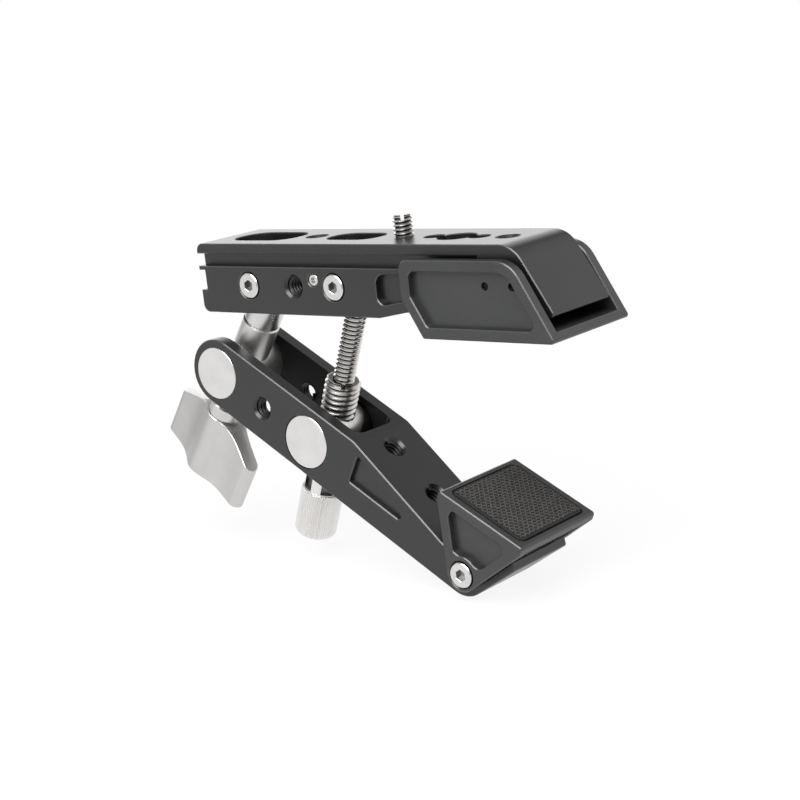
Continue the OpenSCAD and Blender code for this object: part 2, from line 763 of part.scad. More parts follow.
module lower_arm() {
    rear = -low_end_r - over;
    color(black)
        on_lower()
            difference() {
                across(low_w) lower_outline();
                // Fork slot, open at the rear
                translate([0, 0, -low_bottom - over])
                    linear_extrude(low_top + low_bottom + 2 * over)
                        polygon(rounded([
                            [rear, -slot_w / 2, 0], [slot_l, -slot_w / 2, slot_r],
                            [slot_l, slot_w / 2, slot_r], [rear, slot_w / 2, 0]
                        ]));
                cross_bar(trunnion_d + 2 * run_fit, low_w + over);
                translate([trunnion_span, 0, 0]) cross_bar(trunnion_d + 2 * open_fit, low_w + over);
                translate([side_hole_x, 0, 0]) tapped_across(quarter_d, low_w);
                translate([jaw_reach, 0, 0]) cross_bar(jaw_pin_d + 2 * run_fit, low_w + over);
                // Tapped holes square to the sloping face
                translate([bend_x, 0, low_top])
                    rotate([0, bend_angle, 0])
                        for (i = [0, 1])
                            tapped(slope_hole_x + i * slope_hole_pitch, 0, quarter_d, slope_hole_depth);
                both_sides(low_w, recess_depth) recess_outline();
            }
}

module lower_jaw_outline() {
    polygon(rounded([
        [-jaw_l / 2, jaw_h, small_r], [jaw_l / 2, jaw_h, small_r], [jaw_l / 2, plate_low, small_r],
        [0, -cheek_tip, cheek_r], [-jaw_l / 2, plate_low, small_r]
    ]));
}

module lower_jaw() {
    boss_l = (jaw_inner_w - low_w) / 2 - gap + boss_root;
    boss_d = 2 * jaw_pin_d;
    color(black)
        on_jaw()
            difference() {
                union() {
                    difference() {
                        across(jaw_outer_w) lower_jaw_outline();
                        translate([-jaw_l, -jaw_inner_w / 2, -jaw_l])
                            cube([2 * jaw_l, jaw_inner_w, jaw_l + jaw_h - plate_t]);
                    }
                    for (side = [-1, 1])
                        translate([0, side * (low_w / 2 + gap + boss_l / 2), 0]) cross_bar(boss_d, boss_l);
                }
                // Cheek pockets, which stop short of the pivot's boss
                both_sides(jaw_outer_w, cheek_pocket)
                    offset(r = pocket_r) offset(delta = -pocket_r)
                        difference() {
                            intersection() {
                                offset(delta = -cheek_rim) lower_jaw_outline();
                                translate([-jaw_l / 2, cheek_r]) square([jaw_l, jaw_h]);
                            }
                            circle(r = cheek_r + boss_rim);
                        }
                pocket(0, jaw_h, lower_pad_l + 2 * pad_gap, pad_w + 2 * pad_gap, pad_r + pad_gap, pad_seat);
                cross_bar(jaw_pin_d, jaw_outer_w + over);
                for (side = [-1, 1])
                    translate([0, side * (jaw_pin_l + jaw_outer_w) / 4, 0])
                        cross_bar(jaw_head_d + 2 * seat_gap, (jaw_outer_w - jaw_pin_l) / 2);
            }
}

module lower_pad() {
    color(rubber)
        on_jaw()
            translate([0, 0, jaw_h - pad_seat])
                linear_extrude(pad_t) plate_outline(lower_pad_l, pad_w, pad_r);
}

module jaw_pivot_pin() { color(steel) translate(jaw_pivot) cross_bar(jaw_pin_d, jaw_pin_l); }
module jaw_screw_near() { near_screw(jaw_pivot, jaw_pin_l, jaw_head_d); }
module jaw_screw_far() { far_screw(jaw_pivot, jaw_pin_l, jaw_head_d); }

module rod_eye() {
    stem = eye_d / 2 + stem_l;
    color(steel)
        on_rod()
            difference() {
                union() {
                    cross_bar(eye_d, channel_w - 2 * swing_gap);
                    translate([0, 0, -stem]) cylinder(d = stem_d, h = stem);
                }
                cross_bar(pin_d + 2 * run_fit, channel_w);
                translate([0, 0, -stem - over]) cylinder(d = rod_d, h = stem + over - eye_d / 2);
            }
}

module mid_rod() {
    start = eye_d / 2;
    color(steel) on_rod() translate([0, 0, -rod_end]) cylinder(d = rod_d, h = rod_end - start);
}

module mid_trunnion() {
    color(steel)
        on_rod()
            translate([0, 0, -rod_len])
                difference() {
                    cross_bar(trunnion_d, low_w);
                    cylinder(d = sleeve_d + 2 * run_fit, h = 2 * trunnion_d, center = true);
                }
}

module adjusting_sleeve() {
    color(steel)
        on_rod()
            difference() {
                union() {
                    translate([0, 0, -neck_top]) cylinder(d = sleeve_d, h = neck_top - sleeve_top);
                    translate([0, 0, -spigot_end]) cylinder(d = spigot_d, h = spigot_end - neck_top + over);
                }
                translate([0, 0, -spigot_end - over])
                    cylinder(d = rod_d + 2 * run_fit, h = spigot_end - sleeve_top + 2 * over);
            }
}

module knurled_knob() {
    foot = knob_top + knob_h;
    notch_r = knob_neck_d / 2 - neck_notch_depth;
    color(satin)
        on_rod()
            difference() {
                rotate_extrude()
                    polygon(concat(
                        [[0, -foot]],
                        corner_arc([0, -foot], [knob_d / 2, -foot, knob_r], [knob_d / 2, -knob_top]),
                        [[knob_d / 2, -knob_top], [knob_neck_d / 2, -knob_top]],
                        [[knob_neck_d / 2, -neck_top], [0, -neck_top]]
                    ));
                translate([0, 0, -spigot_end]) cylinder(d = spigot_d, h = spigot_end);
                for (i = [0:neck_notches - 1])
                    rotate(neck_turn + 360 / neck_notches * i)
                        translate([notch_r, -neck_notch_w / 2, -knob_top + neck_notch_rim])
                            cube([neck_notch_depth + over, neck_notch_w, knob_neck_h + over]);
            }
}

upper_arm();
upper_jaw();
upper_pad();
top_stud();
rear_pivot_pin();
rear_screw_near();
rear_screw_far();
mid_pivot_pin();
mid_screw_near();
mid_screw_far();
jaw_dowel_rear();
jaw_dowel_front();
lock_screw();
rear_cap();
rear_trunnion();
thrust_tip();
wing_screw();
wing_knob();
lower_arm();
lower_jaw();
lower_pad();
jaw_pivot_pin();
jaw_screw_near();
jaw_screw_far();
rod_eye();
mid_rod();
mid_trunnion();
adjusting_sleeve();
knurled_knob();
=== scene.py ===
import json
import math

import bmesh
import bpy
from mathutils import Matrix, Vector


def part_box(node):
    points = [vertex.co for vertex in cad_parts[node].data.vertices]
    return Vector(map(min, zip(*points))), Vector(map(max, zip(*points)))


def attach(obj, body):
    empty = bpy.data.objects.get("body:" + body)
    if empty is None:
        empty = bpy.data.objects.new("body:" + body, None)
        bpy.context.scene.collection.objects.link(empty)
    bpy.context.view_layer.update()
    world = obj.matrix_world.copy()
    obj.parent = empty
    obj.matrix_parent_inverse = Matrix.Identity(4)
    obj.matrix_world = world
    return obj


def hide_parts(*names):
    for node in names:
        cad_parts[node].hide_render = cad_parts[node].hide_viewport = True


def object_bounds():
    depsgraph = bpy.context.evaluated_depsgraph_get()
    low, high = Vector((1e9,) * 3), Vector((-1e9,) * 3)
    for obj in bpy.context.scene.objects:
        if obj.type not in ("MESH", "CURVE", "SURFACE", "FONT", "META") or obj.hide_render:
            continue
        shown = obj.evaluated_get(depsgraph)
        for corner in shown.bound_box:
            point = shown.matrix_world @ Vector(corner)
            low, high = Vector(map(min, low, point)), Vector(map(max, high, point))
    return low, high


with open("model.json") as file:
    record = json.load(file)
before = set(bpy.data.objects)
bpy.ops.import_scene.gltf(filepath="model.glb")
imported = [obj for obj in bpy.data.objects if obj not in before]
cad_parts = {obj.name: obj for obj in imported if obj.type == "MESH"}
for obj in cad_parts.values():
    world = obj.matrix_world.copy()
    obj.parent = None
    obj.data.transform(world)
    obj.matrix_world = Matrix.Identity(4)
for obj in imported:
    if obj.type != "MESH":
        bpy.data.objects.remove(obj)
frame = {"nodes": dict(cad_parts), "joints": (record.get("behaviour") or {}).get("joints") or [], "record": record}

cad_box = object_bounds()


# Upper arm: a bar of aluminium milled on every side and anodised black, with a rail groove along each
# side and a channel for the rods underneath. Its outer edges are broken by a machined chamfer.
class Amount:
    """A number that varies over a surface; arithmetic on it adds Math nodes."""

    def __init__(self, finish, socket):
        self.finish = finish
        self.socket = socket

    def worked(self, operation, first, second):
        return self.finish.node("ShaderNodeMath", {"operation": operation}, {0: first, 1: second})

    def __add__(self, other):
        return self.worked("ADD", self, other)

    def __radd__(self, other):
        return self.worked("ADD", other, self)

    def __sub__(self, other):
        return self.worked("SUBTRACT", self, other)

    def __rsub__(self, other):
        return self.worked("SUBTRACT", other, self)

    def __mul__(self, other):
        return self.worked("MULTIPLY", self, other)

    def __rmul__(self, other):
        return self.worked("MULTIPLY", other, self)


class Finish:
    """A material and its nodes."""

    def __init__(self, name):
        self.material = bpy.data.materials.new(name)
        self.material.use_nodes = True
        self.tree = self.material.node_tree
        self.shader = self.tree.nodes["Principled BSDF"]

    def node(self, kind, settings, sockets, out=0):
        made = self.tree.nodes.new(kind)
        for key, value in settings.items():
            if key == "stops":
                ramp = made.color_ramp.elements
                for place, stop in enumerate(value):
                    element = ramp[place] if place < len(ramp) else ramp.new(stop[0])
                    element.position = stop[0]
                    element.color = stop[1]
            else:
                setattr(made, key, value)
        self.feed(made, sockets)
        return Amount(self, made.outputs[out])

    def feed(self, made, sockets):
        for key, value in sockets.items():
            if isinstance(value, Amount):
                self.tree.links.new(value.socket, made.inputs[key])
            else:
                made.inputs[key].default_value = value

    def place(self):
        return self.node("ShaderNodeTexCoord", {}, {}, out="Object")

    def noise(self, scale, detail, place=None):
        where = place or self.place()
        return self.node("ShaderNodeTexNoise", {}, {"Vector": where, "Scale": scale, "Detail": detail})

    def shades(self, amount, *stops):
        return self.node("ShaderNodeValToRGB", {"stops": stops}, {"Fac": amount})

    def ramp(self, amount, start, end, first, last):
        sockets = {"Value": amount, "From Min": start, "From Max": end, "To Min": first, "To Max": last}
        return self.node("ShaderNodeMapRange", {"interpolation_type": "SMOOTHSTEP"}, sockets)

    def bump(self, height, strength, distance):
        sockets = {"Height": height, "Strength": strength, "Distance": distance}
        return self.node("ShaderNodeBump", {}, sockets)

    def set(self, **sockets):
        self.feed(self.shader, {key.replace("_", " "): value for key, value in sockets.items()})
        return self.material


def grey(level, warmth=0.0):
    return (level * (1 + warmth), level, level * (1 - warmth), 1)


def anodised(name, rough, level, ior=1.6):
    """Blasted and dyed aluminium: a fine matt grain, faint cloudiness in the dye, a glassy oxide skin."""
    finish = Finish(name)
    cloud = finish.noise(scale=70, detail=3)
    grain = finish.noise(scale=2600, detail=2)
    cool = -0.02
    dye = cloud * 0.7 + grain * 0.3
    colour = finish.shades(dye, (0.3, grey(level * 0.8, cool)), (0.7, grey(level * 1.2, cool)))
    return finish.set(
        Base_Color=colour,
        Roughness=rough - 0.04 + 0.08 * grain,
        IOR=ior,
        Normal=finish.bump(grain, strength=0.12, distance=0.00003),
    )


black_skin = anodised("black_anodised", rough=0.33, level=0.006)
# Chamfers get a lighter copy of the skin: partly wear through the dye on the edges, partly a painted highlight
# along them.
edge_wear_and_highlight = anodised("machined_edge_and_painted_highlight", rough=0.28, level=0.04)
# A darker, duller copy of the black skin, laid on bore walls and slot walls as painted shade.
painted_shade_skin = anodised("anodised_painted_shade", rough=0.55, level=0.003, ior=1.35)


def clear_selection():
    if bpy.context.object and bpy.context.object.mode != "OBJECT":
        bpy.ops.object.mode_set(mode="OBJECT")
    bpy.ops.object.select_all(action="DESELECT")


def hold(piece):
    clear_selection()
    piece.select_set(True)
    bpy.context.view_layer.objects.active = piece


def take(node, name, *materials):
    """A copy of a CAD node: loose triangles merged, flats made whole, ready to be worked on."""
    piece = bpy.data.objects.new(name, frame["nodes"][node].data.copy())
    piece.data.name = name
    bpy.context.scene.collection.objects.link(piece)
    piece.data.materials.clear()
    for material in materials:
        piece.data.materials.append(material)
    hold(piece)
    bpy.ops.mesh.customdata_custom_splitnormals_clear()
    bpy.ops.object.mode_set(mode="EDIT")
    bpy.ops.mesh.select_all(action="SELECT")
    bpy.ops.mesh.remove_doubles(threshold=0.000002)
    bpy.ops.mesh.dissolve_limited(angle_limit=math.radians(0.6))
    bpy.ops.object.mode_set(mode="OBJECT")
    return piece


def chamfer(piece, width, wanted, steps=1, material=1):
    """Breaks the outward edges that wanted(one end, other end) picks; the cuts take their own finish."""
    sharp_turn = 1
    hold(piece)
    bpy.ops.object.mode_set(mode="EDIT")
    bpy.ops.mesh.select_mode(type="EDGE")
    bpy.ops.mesh.select_all(action="DESELECT")
    work = bmesh.from_edit_mesh(piece.data)
    for edge in work.edges:
        if len(edge.link_faces) == 2 and edge.calc_face_angle_signed() > sharp_turn:
            edge.select_set(wanted(edge.verts[0].co, edge.verts[1].co))
    bmesh.update_edit_mesh(piece.data)
    bpy.ops.mesh.bevel(offset=width, segments=steps, affect="EDGES", material=material, loop_slide=False)
    bpy.ops.object.mode_set(mode="OBJECT")


def smooth(piece, angle=35):
    """Smooth shading that leaves machined edges crisp and flats flat."""
    hold(piece)
    bpy.ops.object.shade_smooth_by_angle(angle=math.radians(angle))
    bpy.ops.object.modifier_add(type="WEIGHTED_NORMAL")
    piece.modifiers[-1].keep_sharp = True
    bpy.ops.object.modifier_apply(modifier=piece.modifiers[-1].name)


def on_plane(axis, level, reach=0.00002):
    """A test for edges that lie in a plane, or in the pair of planes at plus and minus its level."""
    def lies(one, other):
        return all(abs(abs(end[axis]) - level) < reach for end in (one, other))
    return lies


arm_half_width = 0.014
arm_break = 0.0003
stud_clearance = 0.004
arm_side = on_plane(1, arm_half_width)
arm_top = on_plane(2, 0)


def arm_edge(one, other):
    middle = (one + other) / 2
    by_stud = middle.xy.length < stud_clearance
    return not by_stud and (arm_side(one, other) or arm_top(one, other))


def darken(piece, deep, material=2):
    """Gives the faces that deep(middle, normal) picks a darker, duller copy of the anodised skin: painted shade
    for a bore or a slot.
    """
    for face in piece.data.polygons:
        if deep(face.center, face.normal):
            face.material_index = material


holes = {mount["name"]: Vector(mount["pos_m"]) for mount in frame["record"]["mounts"]}
cross = holes["upper_cross_hole"]
bore_reach = 0.0036
side_on = 0.3


def in_cross_bore(middle, normal):
    return (middle.xz - cross.xz).length < bore_reach and abs(normal.y) < side_on


upper_arm = take("upper_arm", "upper_arm_body", black_skin, edge_wear_and_highlight, painted_shade_skin)
# Painted shade: the cross bore's wall takes the darker skin.
darken(upper_arm, in_cross_bore)
chamfer(upper_arm, arm_break, arm_edge)
smooth(upper_arm)
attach(upper_arm, "upper_body")
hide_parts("upper_arm")


# Tapped threads of the upper arm: one groove cut in each wall, so a single ridge winds down the hole.
# Quarter inch holes have 20 threads to the inch and the three eighths hole has 16.
def lay(piece, place, direction):
    """Sets a piece made along +Z at a place, along a direction, and fixes it there."""
    turn = Vector((0, 0, 1)).rotation_difference(Vector(direction)).to_matrix().to_4x4()
    piece.matrix_world = Matrix.Translation(place) @ turn
    hold(piece)
    bpy.ops.object.transform_apply(location=True, rotation=True, scale=True)


def tapped_ridge(name, radius, pitch, length, place, direction):
    """The ridge between the cuts of a tap, from a place in the wall along a direction."""
    clear_selection()
    bpy.ops.mesh.primitive_plane_add(size=1)
    ridge = bpy.context.object
    ridge.name = ridge.data.name = name
    crest = radius - 0.55 * pitch
    root = radius + 0.05 * pitch
    half_foot = 0.45
    half_tip = 0.07
    corners = ((root, -half_foot), (root, half_foot), (crest, half_tip), (crest, -half_tip))
    bpy.ops.object.mode_set(mode="EDIT")
    bpy.ops.mesh.delete(type="ONLY_FACE")
    bpy.ops.object.mode_set(mode="OBJECT")
    round_the_plane = (0, 1, 3, 2)
    for number, (across, along) in zip(round_the_plane, corners):
        ridge.data.vertices[number].co = (across, 0, (along + half_foot) * pitch)
    screw = ridge.modifiers.new("winding", "SCREW")
    screw.screw_offset = pitch
    screw.iterations = int(length / pitch)
    screw.steps = screw.render_steps = 28
    bpy.ops.object.modifier_apply(modifier=screw.name)
    bpy.ops.object.mode_set(mode="EDIT")
    bpy.ops.mesh.select_all(action="SELECT")
    bpy.ops.mesh.fill_holes(sides=4)
    bpy.ops.mesh.normals_make_consistent(inside=False)
    bpy.ops.object.mode_set(mode="OBJECT")
    lay(ridge, place, direction)
    return ridge


def join(name, *pieces):
    hold(pieces[0])
    for piece in pieces:
        piece.select_set(True)
    bpy.ops.object.join()
    pieces[0].name = pieces[0].data.name = name
    return pieces[0]


# A darker copy of the anodised skin for the tapped ridges: painted shade inside the holes.
tapped_shade_skin = anodised("tapped_anodised_painted_shade", rough=0.38, level=0.004, ior=1.5)
quarter = 0.003175
three_eighths = 0.0047625
quarter_pitch = 0.00127
three_eighths_pitch = 0.0015875
mouth = 0.0008
key_recess = 0.0026
roof_depth = 0.0042
front_depth = 0.008
key_depth = 0.0056
cross_depth = 0.0066
down_the_hole = (0, 0, -1)
ridges = [
    tapped_ridge("roof_ridge", quarter, quarter_pitch, roof_depth,
                 (holes["roof_hole"].x, 0, -mouth), down_the_hole),
    tapped_ridge("front_ridge", quarter, quarter_pitch, front_depth,
                 (holes["front_hole"].x, 0, -mouth), down_the_hole),
    tapped_ridge("key_ridge", three_eighths, three_eighths_pitch, key_depth,
                 (holes["key_hole"].x, 0, -key_recess - mouth), down_the_hole),
]
for side in (-1, 1):
    start = Vector((cross.x, side * (arm_half_width - mouth), cross.z))
    ridges.append(tapped_ridge("cross_ridge", quarter, quarter_pitch, cross_depth, start, (0, -side, 0)))
upper_threads = join("upper_arm_threads", *ridges)
upper_threads.data.materials.append(tapped_shade_skin)
smooth(upper_threads, angle=50)
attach(upper_threads, "upper_body")


# Upper jaw: a saddle milled from one block of aluminium and anodised black. It straddles the arm's nose
# on two dowels, and its cheeks are pocketed to save weight.
jaw_break = 0.00032
cheek_out = on_plane(1, 0.019)
cheek_in = on_plane(1, 0.0154)


def cheek_edge(one, other):
    return cheek_out(one, other) or cheek_in(one, other)


jaw_skin = anodised("jaw_anodised", rough=0.36, level=0.02)
upper_jaw = take("upper_jaw", "upper_jaw_saddle", jaw_skin, edge_wear_and_highlight)
chamfer(upper_jaw, jaw_break, cheek_edge)
smooth(upper_jaw)
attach(upper_jaw, "upper_body")
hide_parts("upper_jaw")


# Pads: two sheets of black rubber with a basket-woven face, cut with round corners and glued into the
# shallow seats of the jaws, with a narrow groove left round them.
def woven_rubber(name, dark, light):
    """Dull rubber with a dusty bloom on it."""
    finish = Finish(name)
    dust = finish.noise(scale=900, detail=4)
    grit = finish.noise(scale=5200, detail=2)
    colour = finish.shades(dust, (0.35, grey(dark, 0.03)), (0.7, grey(light, 0.06)))
    return finish.set(
        Base_Color=colour,
        Roughness=0.62 + 0.25 * dust,
        Normal=finish.bump(grit, strength=0.5, distance=0.00004),
    )


float_rubber = woven_rubber("pad_rubber_floats", dark=0.045, light=0.09)
# The sheet between the floats takes a much darker copy of the rubber: painted shade between the floats.
shaded_base_rubber = woven_rubber("pad_rubber_base_painted_shade", dark=0.004, light=0.009)
weave_pitch = 0.00108
weave_rise = 0.0003
strand_length = 1.2 * weave_pitch
strand_width = 0.46 * weave_pitch
pad_corner = 0.002
pad_break = 0.0003


def strand(turn):
    """One float of the weave: a short rounded bar, tilted across the pad."""
    clear_selection()
    bpy.ops.mesh.primitive_cube_add(size=1)
    made = bpy.context.object
    bpy.ops.object.mode_set(mode="EDIT")
    bpy.ops.transform.resize(value=(strand_length, strand_width, 2 * weave_rise))
    bpy.ops.mesh.select_all(action="DESELECT")
    work = bmesh.from_edit_mesh(made.data)
    for face in work.faces:
        face.select_set(face.normal.z > 0.5)
    bmesh.update_edit_mesh(made.data)
    bpy.ops.transform.resize(value=(0.72, 0.55, 1))
    bpy.ops.object.mode_set(mode="OBJECT")
    made.rotation_euler.z = turn
    bpy.ops.object.transform_apply(location=False, rotation=True, scale=False)
    return made


def weave(length, width):
    """Floats in a checkerboard, every second one turned, over a round-cornered field round the origin."""
    def on_field(point):
        past_length = max(abs(point.x) - length / 2 + pad_corner, 0)
        past_width = max(abs(point.y) - width / 2 + pad_corner, 0)
        return Vector((past_length, past_width)).length < pad_corner

    strand_corners = 8
    counts = [int(span / weave_pitch / 2) + 1 for span in (length, width)]
    first_x, first_y = (-weave_pitch * (count - 0.5) for count in counts)
    rows = []
    for turn, shift in ((math.pi / 4, 0), (-math.pi / 4, 1)):
        for step in (0, 1):
            bar = strand(turn)
            bar.location.x = first_x + ((step + shift) % 2) * weave_pitch
            bar.location.y = first_y + step * weave_pitch
            hold(bar)
            bpy.ops.object.transform_apply(location=True, rotation=False, scale=False)
            for axis, count in enumerate(counts):
                array = bar.modifiers.new("row", "ARRAY")
                array.use_relative_offset = False
                array.use_constant_offset = True
                offset = [0, 0, 0]
                offset[axis] = 2 * weave_pitch
                array.constant_offset_displace = offset
                array.count = count
                bpy.ops.object.modifier_apply(modifier=array.name)
            bpy.ops.object.mode_set(mode="EDIT")
            bpy.ops.mesh.select_mode(type="VERT")
            bpy.ops.mesh.select_all(action="DESELECT")
            work = bmesh.from_edit_mesh(bar.data)
            work.verts.ensure_lookup_table()
            for first in range(0, len(work.verts), strand_corners):
                corners = work.verts[first:first + strand_corners]
                if not all(on_field(corner.co) for corner in corners):
                    for corner in corners:
                        corner.select_set(True)
            bmesh.update_edit_mesh(bar.data)
            bpy.ops.mesh.delete(type="VERT")
            bpy.ops.object.mode_set(mode="OBJECT")
            rows.append(bar)
    return join("weave", *rows)


def pad(node, name, body, place, facing, length, width):
    """The pad's sheet, sunk by the height of the weave that then covers it."""
    sheet = take(node, name, shaded_base_rubber)
    place = Vector(place)
    facing = Vector(facing)
    face_level = place.dot(facing)
    hold(sheet)
    bpy.ops.object.mode_set(mode="EDIT")
    bpy.ops.mesh.select_all(action="DESELECT")
    work = bmesh.from_edit_mesh(sheet.data)
    for vertex in work.verts:
        vertex.select_set(vertex.co.dot(facing) > face_level - 0.0001)
    work.select_flush(True)
    bmesh.update_edit_mesh(sheet.data)
    bpy.ops.transform.translate(value=facing * -weave_rise)
    bpy.ops.object.mode_set(mode="OBJECT")

    def rim(one, other):
        return all(end.dot(facing) > face_level - 2 * weave_rise for end in (one, other))
    chamfer(sheet, pad_break, rim, steps=2, material=0)
    cloth = weave(length, width)
    cloth.data.materials.append(float_rubber)
    lean = math.atan2(facing.x, facing.z)
    cloth.matrix_world = Matrix.Translation(place - facing * weave_rise) @ Matrix.Rotation(lean, 4, "Y")
    hold(cloth)
    bpy.ops.object.transform_apply(location=True, rotation=True, scale=True)
    made = join(name, sheet, cloth)
    smooth(made, angle=50)
    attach(made, body)
    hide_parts(node)


rim_width = 0.00005
upper_low, upper_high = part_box("upper_pad")
upper_face = ((upper_low.x + upper_high.x) / 2, 0, upper_low.z)
pad_width = upper_high.y - upper_low.y - 2 * rim_width
pad("upper_pad", "upper_pad_rubber", "upper_body", upper_face, (0, 0, -1),
    upper_high.x - upper_low.x - 2 * rim_width, pad_width)


# Stud on top: a quarter inch screw of stainless steel, turned in against the arm's top face, with a
# chamfered tip and a slot for a driver.
def turned_steel(name, centre, axis, rough, level=0.62, root=0.0, crest=0.00001):
    """Lathe-turned stainless: fine rings round the axis, and painted shade in a thread, dark at its root and
    clearing by its crest.
    """
    finish = Finish(name)
    off = finish.node("ShaderNodeVectorMath", {"operation": "SUBTRACT"}, {0: finish.place(), 1: centre})
    along = finish.node("ShaderNodeVectorMath", {"operation": "DOT_PRODUCT"}, {0: off, 1: axis}, out="Value")
    shaft = finish.node("ShaderNodeVectorMath", {"operation": "SCALE"}, {0: axis, "Scale": along})
    out = finish.node("ShaderNodeVectorMath", {"operation": "SUBTRACT"}, {0: off, 1: shaft})
    radius = finish.node("ShaderNodeVectorMath", {"operation": "LENGTH"}, {0: out}, out="Value")
    ring = finish.node("ShaderNodeTexNoise", {"noise_dimensions": "1D"},
                       {"W": radius + along, "Scale": 5200, "Detail": 3})
    wear = finish.noise(scale=160, detail=3)
    # Painted shade: the colour goes dark in a thread's root and clears by its crest; ring and wear noise vary the
    # tone at random.
    bright = finish.ramp(radius, root, crest, 0, 1) * (0.6 * ring + 0.4 * wear)
    colour = finish.shades(bright, (0, grey(0.12, 0.12)), (0.3, grey(level * 0.88, 0.015)),
                           (0.7, grey(level * 1.1, 0.015)))
    return finish.set(
        Base_Color=colour,
        Metallic=1.0,
        Roughness=rough - 0.04 + 0.08 * ring,
        Normal=finish.bump(ring, strength=0.06, distance=0.00002),
    )


def blank(name, radius, length, top_break, foot_break):
    """A round bar from the origin up, with its two ends broken."""
    clear_selection()
    bpy.ops.mesh.primitive_cylinder_add(vertices=64, radius=radius, depth=length, location=(0, 0, length / 2))
    bar = bpy.context.object
    bar.name = bar.data.name = name
    bpy.ops.object.transform_apply(location=True, rotation=True, scale=True)
    for level, width in ((length, top_break), (0, foot_break)):
        if width:
            chamfer(bar, width, on_plane(2, level), material=0)
    return bar


def cut(piece, tool, way):
    """Cuts a piece with a tool, or keeps what both hold; the tool is used up."""
    hold(piece)
    boolean = piece.modifiers.new("cut", "BOOLEAN")
    boolean.operation = way
    boolean.object = tool
    boolean.solver = "EXACT"
    bpy.ops.object.modifier_apply(modifier=boolean.name)
    bpy.data.objects.remove(tool)
    bpy.ops.object.mode_set(mode="EDIT")
    bpy.ops.mesh.select_all(action="SELECT")
    bpy.ops.mesh.remove_doubles(threshold=0.000001)
    bpy.ops.object.mode_set(mode="OBJECT")
    return piece


def threaded(bar, radius, pitch, length):
    """Cuts a screw thread along a bar that stands on the origin: what a winding and the bar share."""
    clear_selection()
    bpy.ops.mesh.primitive_circle_add(vertices=4, fill_type="NOTHING")
    winding = bpy.context.object
    bpy.ops.object.mode_set(mode="EDIT")
    bpy.ops.mesh.select_mode(type="EDGE")
    bpy.ops.mesh.select_all(action="DESELECT")
    work = bmesh.from_edit_mesh(winding.data)
    for edge in work.edges:
        edge.select_set({vertex.index for vertex in edge.verts} == {0, 3})
    bmesh.update_edit_mesh(winding.data)
    bpy.ops.mesh.delete(type="EDGE")
    bpy.ops.object.mode_set(mode="OBJECT")
    root = radius - 0.6 * pitch
    past_bar = radius + 0.00002
    profile = ((root, 0), (past_bar, 0.42), (past_bar, 0.58), (root, 1))
    for vertex, (across, along) in zip(winding.data.vertices, profile):
        vertex.co = (across, 0, (along - 1.5) * pitch)
    screw = winding.modifiers.new("winding", "SCREW")
    screw.screw_offset = pitch
    screw.iterations = int(length / pitch) + 4
    screw.steps = screw.render_steps = 40
    bpy.ops.object.modifier_apply(modifier=screw.name)
    bpy.ops.object.mode_set(mode="EDIT")
    bpy.ops.mesh.select_all(action="SELECT")
    bpy.ops.mesh.remove_doubles(threshold=0.000005)
    spare = 0.2 * pitch
    for level, way in ((-spare, -1), (length + spare, 1)):
        bpy.ops.mesh.select_all(action="SELECT")
        bpy.ops.mesh.bisect(plane_co=(0, 0, level), plane_no=(0, 0, way), use_fill=True, clear_outer=True)
    bpy.ops.mesh.select_all(action="SELECT")
    bpy.ops.mesh.normals_make_consistent(inside=False)
    bpy.ops.object.mode_set(mode="OBJECT")
    return cut(bar, winding, "INTERSECT")


def raised(piece, height):
    """Moves a piece up by a height and fixes it there."""
    piece.location.z = height
    hold(piece)
    bpy.ops.object.transform_apply(location=True, rotation=True, scale=True)
    return piece


def slotted(piece, top, width, depth):
    """Saws a driver slot into the top of a piece that stands on the origin."""
    slot_turn = math.radians(-49)
    slot_reach = 0.02
    clear_selection()
    bpy.ops.mesh.primitive_cube_add(size=1, scale=(slot_reach, width, 2 * depth), rotation=(0, 0, slot_turn),
                                    location=(0, 0, top))
    return cut(piece, bpy.context.object, "DIFFERENCE")


stud_relief = 0.0003
stud_height = 0.0067
stud_length = stud_height - stud_relief
stud_tip = 0.0008
stud_slot_width = 0.0011
stud_slot_depth = 0.0014
shank_radius = 0.0027
shank_length = 0.0095
shank_foot = -0.009
stud_blank = blank("top_stud_thread", quarter, stud_length, stud_tip, 0)
stud = threaded(stud_blank, quarter, quarter_pitch, stud_length)
slotted(stud, stud_length, stud_slot_width, stud_slot_depth)
raised(stud, stud_relief)
shank = raised(blank("stud_shank", shank_radius, shank_length, 0, 0), shank_foot)
stud = join("top_stud_thread", stud, shank)
stud_steel = turned_steel("stud_steel", (0, 0, 0), (0, 0, 1), rough=0.26, level=0.7,
                          root=quarter - 0.5 * quarter_pitch, crest=quarter - 0.1 * quarter_pitch)
stud.data.materials.append(stud_steel)
smooth(stud, angle=30)
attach(stud, "upper_body")
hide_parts("top_stud")


# Pivot pins and dowels: plain ground steel rods across the arm and jaws, seen only in the gaps. The jaw's
# dowels are painted dark, as painted shade for the deep holes they sit in.
across_y = (0.0, 1.0, 0.0)
dowel_painted_shade = 0.02
bright = 0.62
for node in ("rear_pivot_pin", "mid_pivot_pin", "jaw_pivot_pin", "jaw_dowel_rear", "jaw_dowel_front"):
    low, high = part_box(node)
    shade = dowel_painted_shade if "dowel" in node else bright
    ground = turned_steel(node + "_steel", tuple((low + high) / 2), across_y, rough=0.24, level=shade)
    for slot in frame["nodes"][node].material_slots:
        slot.material = ground


# Screws in the ends of the pivot pins: button heads of stainless steel, faced on a lathe, with a broached
# hexagon socket. Six of one pattern; the two at the jaw are a little smaller.
head_height = 0.0024
head_break = 0.0003
face_break = 0.00008
socket_radius = 0.0019
socket_depth = 0.0015
socket_break = 0.00012
arm_head_radius = 0.00405
jaw_head_radius = 0.004


